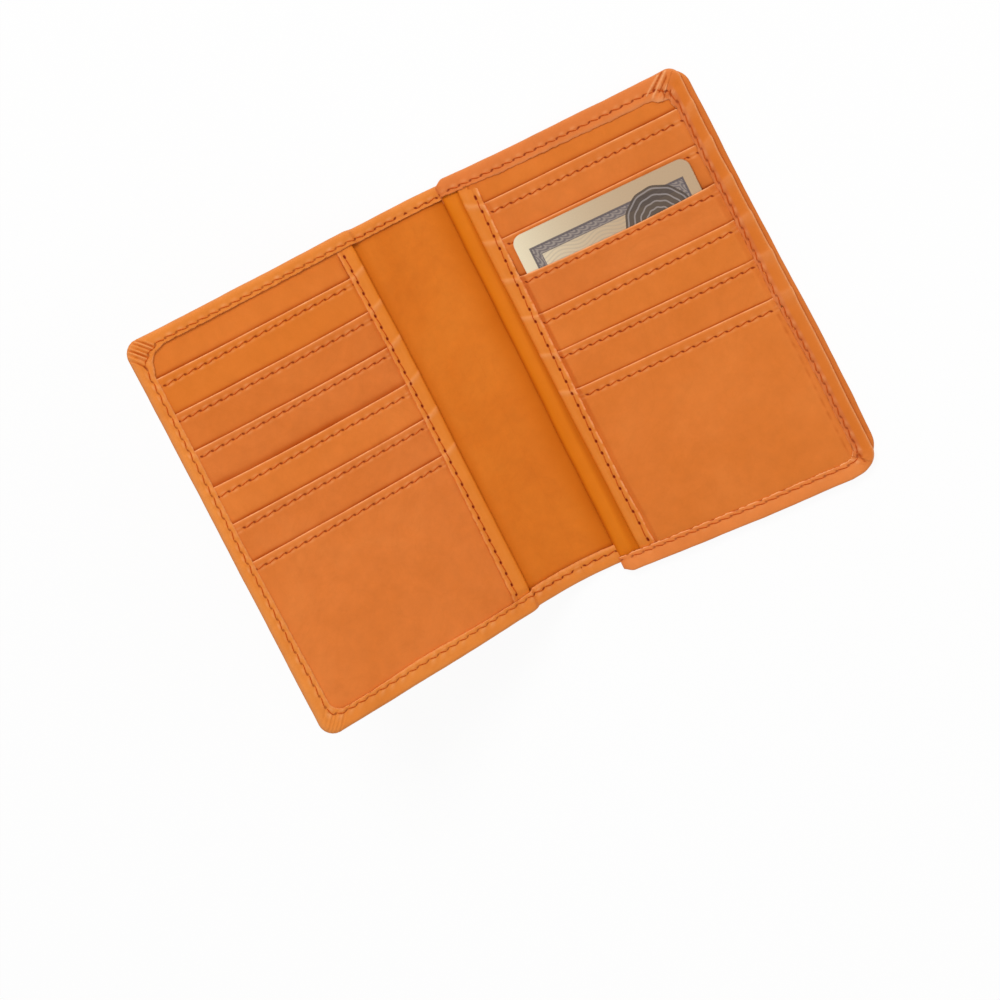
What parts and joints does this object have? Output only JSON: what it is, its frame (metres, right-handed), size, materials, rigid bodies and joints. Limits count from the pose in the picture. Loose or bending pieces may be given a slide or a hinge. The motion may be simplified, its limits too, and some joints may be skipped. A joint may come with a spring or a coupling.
{
  "type": "card wallet",
  "caption": "Bifold leather card wallet, half open, with stepped card pockets on both inner halves, turned and stitched edges, a soft folding spine and a card standing in a pocket.",
  "frame": {"origin": "centre of the back half's flat outer face, on which the wallet lies half open", "axes": "+X from the spine to the back half's fore edge, +Y up the pockets to their mouths, +Z out of the back half's inside"},
  "size_m": [0.1558, 0.1186, 0.0632],
  "materials": {
    "cover_leather": "smooth tan leather with a soft satin sheen",
    "pocket_leather": "smooth tan leather, a little redder, soft satin",
    "lining_leather": "thin smooth lining leather, soft satin",
    "thread": "waxed pink-brown sewing thread",
    "card": "smooth cream card stock with a pale print"
  },
  "bodies": {
    "back_half": {"back_cover": "cover_leather", "back_lining": "lining_leather", "back_leaf": "cover_leather", "back_panel_base": "pocket_leather", "back_pocket_1": "pocket_leather", "back_pocket_2": "pocket_leather", "back_pocket_3": "pocket_leather", "back_pocket_4": "pocket_leather", "back_pocket_5": "pocket_leather", "back_pocket_6": "pocket_leather", "back_pocket_thread_1": "thread", "back_pocket_thread_2": "thread", "back_pocket_thread_3": "thread", "back_pocket_thread_4": "thread", "back_pocket_thread_5": "thread", "back_pocket_thread_6": "thread", "back_binding_thread": "thread", "back_seam_thread": "thread"},
    "spine": {"spine_cover": "cover_leather", "spine_lining": "lining_leather", "spine_thread_top": "thread", "spine_thread_bottom": "thread"},
    "front_half": {"front_cover": "cover_leather", "front_lining": "lining_leather", "front_panel_base": "pocket_leather", "front_pocket_1": "pocket_leather", "front_pocket_2": "pocket_leather", "front_pocket_3": "pocket_leather", "front_pocket_4": "pocket_leather", "front_pocket_5": "pocket_leather", "front_pocket_6": "pocket_leather", "front_pocket_thread_1": "thread", "front_pocket_thread_2": "thread", "front_pocket_thread_3": "thread", "front_pocket_thread_4": "thread", "front_pocket_thread_5": "thread", "front_pocket_thread_6": "thread", "front_binding_thread": "thread", "front_seam_thread": "thread"},
    "card": {"card": "card"}
  },
  "joints": [
    {"name": "back_fold", "type": "hinge", "parent": "back_half", "child": "spine", "pos_m": [-0.04255, 0, 0.00088], "axis": [0, 1, 0], "range_deg": [-21.5, 68.5]},
    {"name": "front_fold", "type": "hinge", "parent": "spine", "child": "front_half", "pos_m": [-0.05077, 0, 0.00411], "axis": [0, 1, 0], "range_deg": [-21.5, 68.5]},
    {"name": "card_slide", "type": "slide", "parent": "back_half", "child": "card", "axis": [0, 0.9998, 0.0183], "range_m": [-0.0059, 0.0748]}
  ]
}
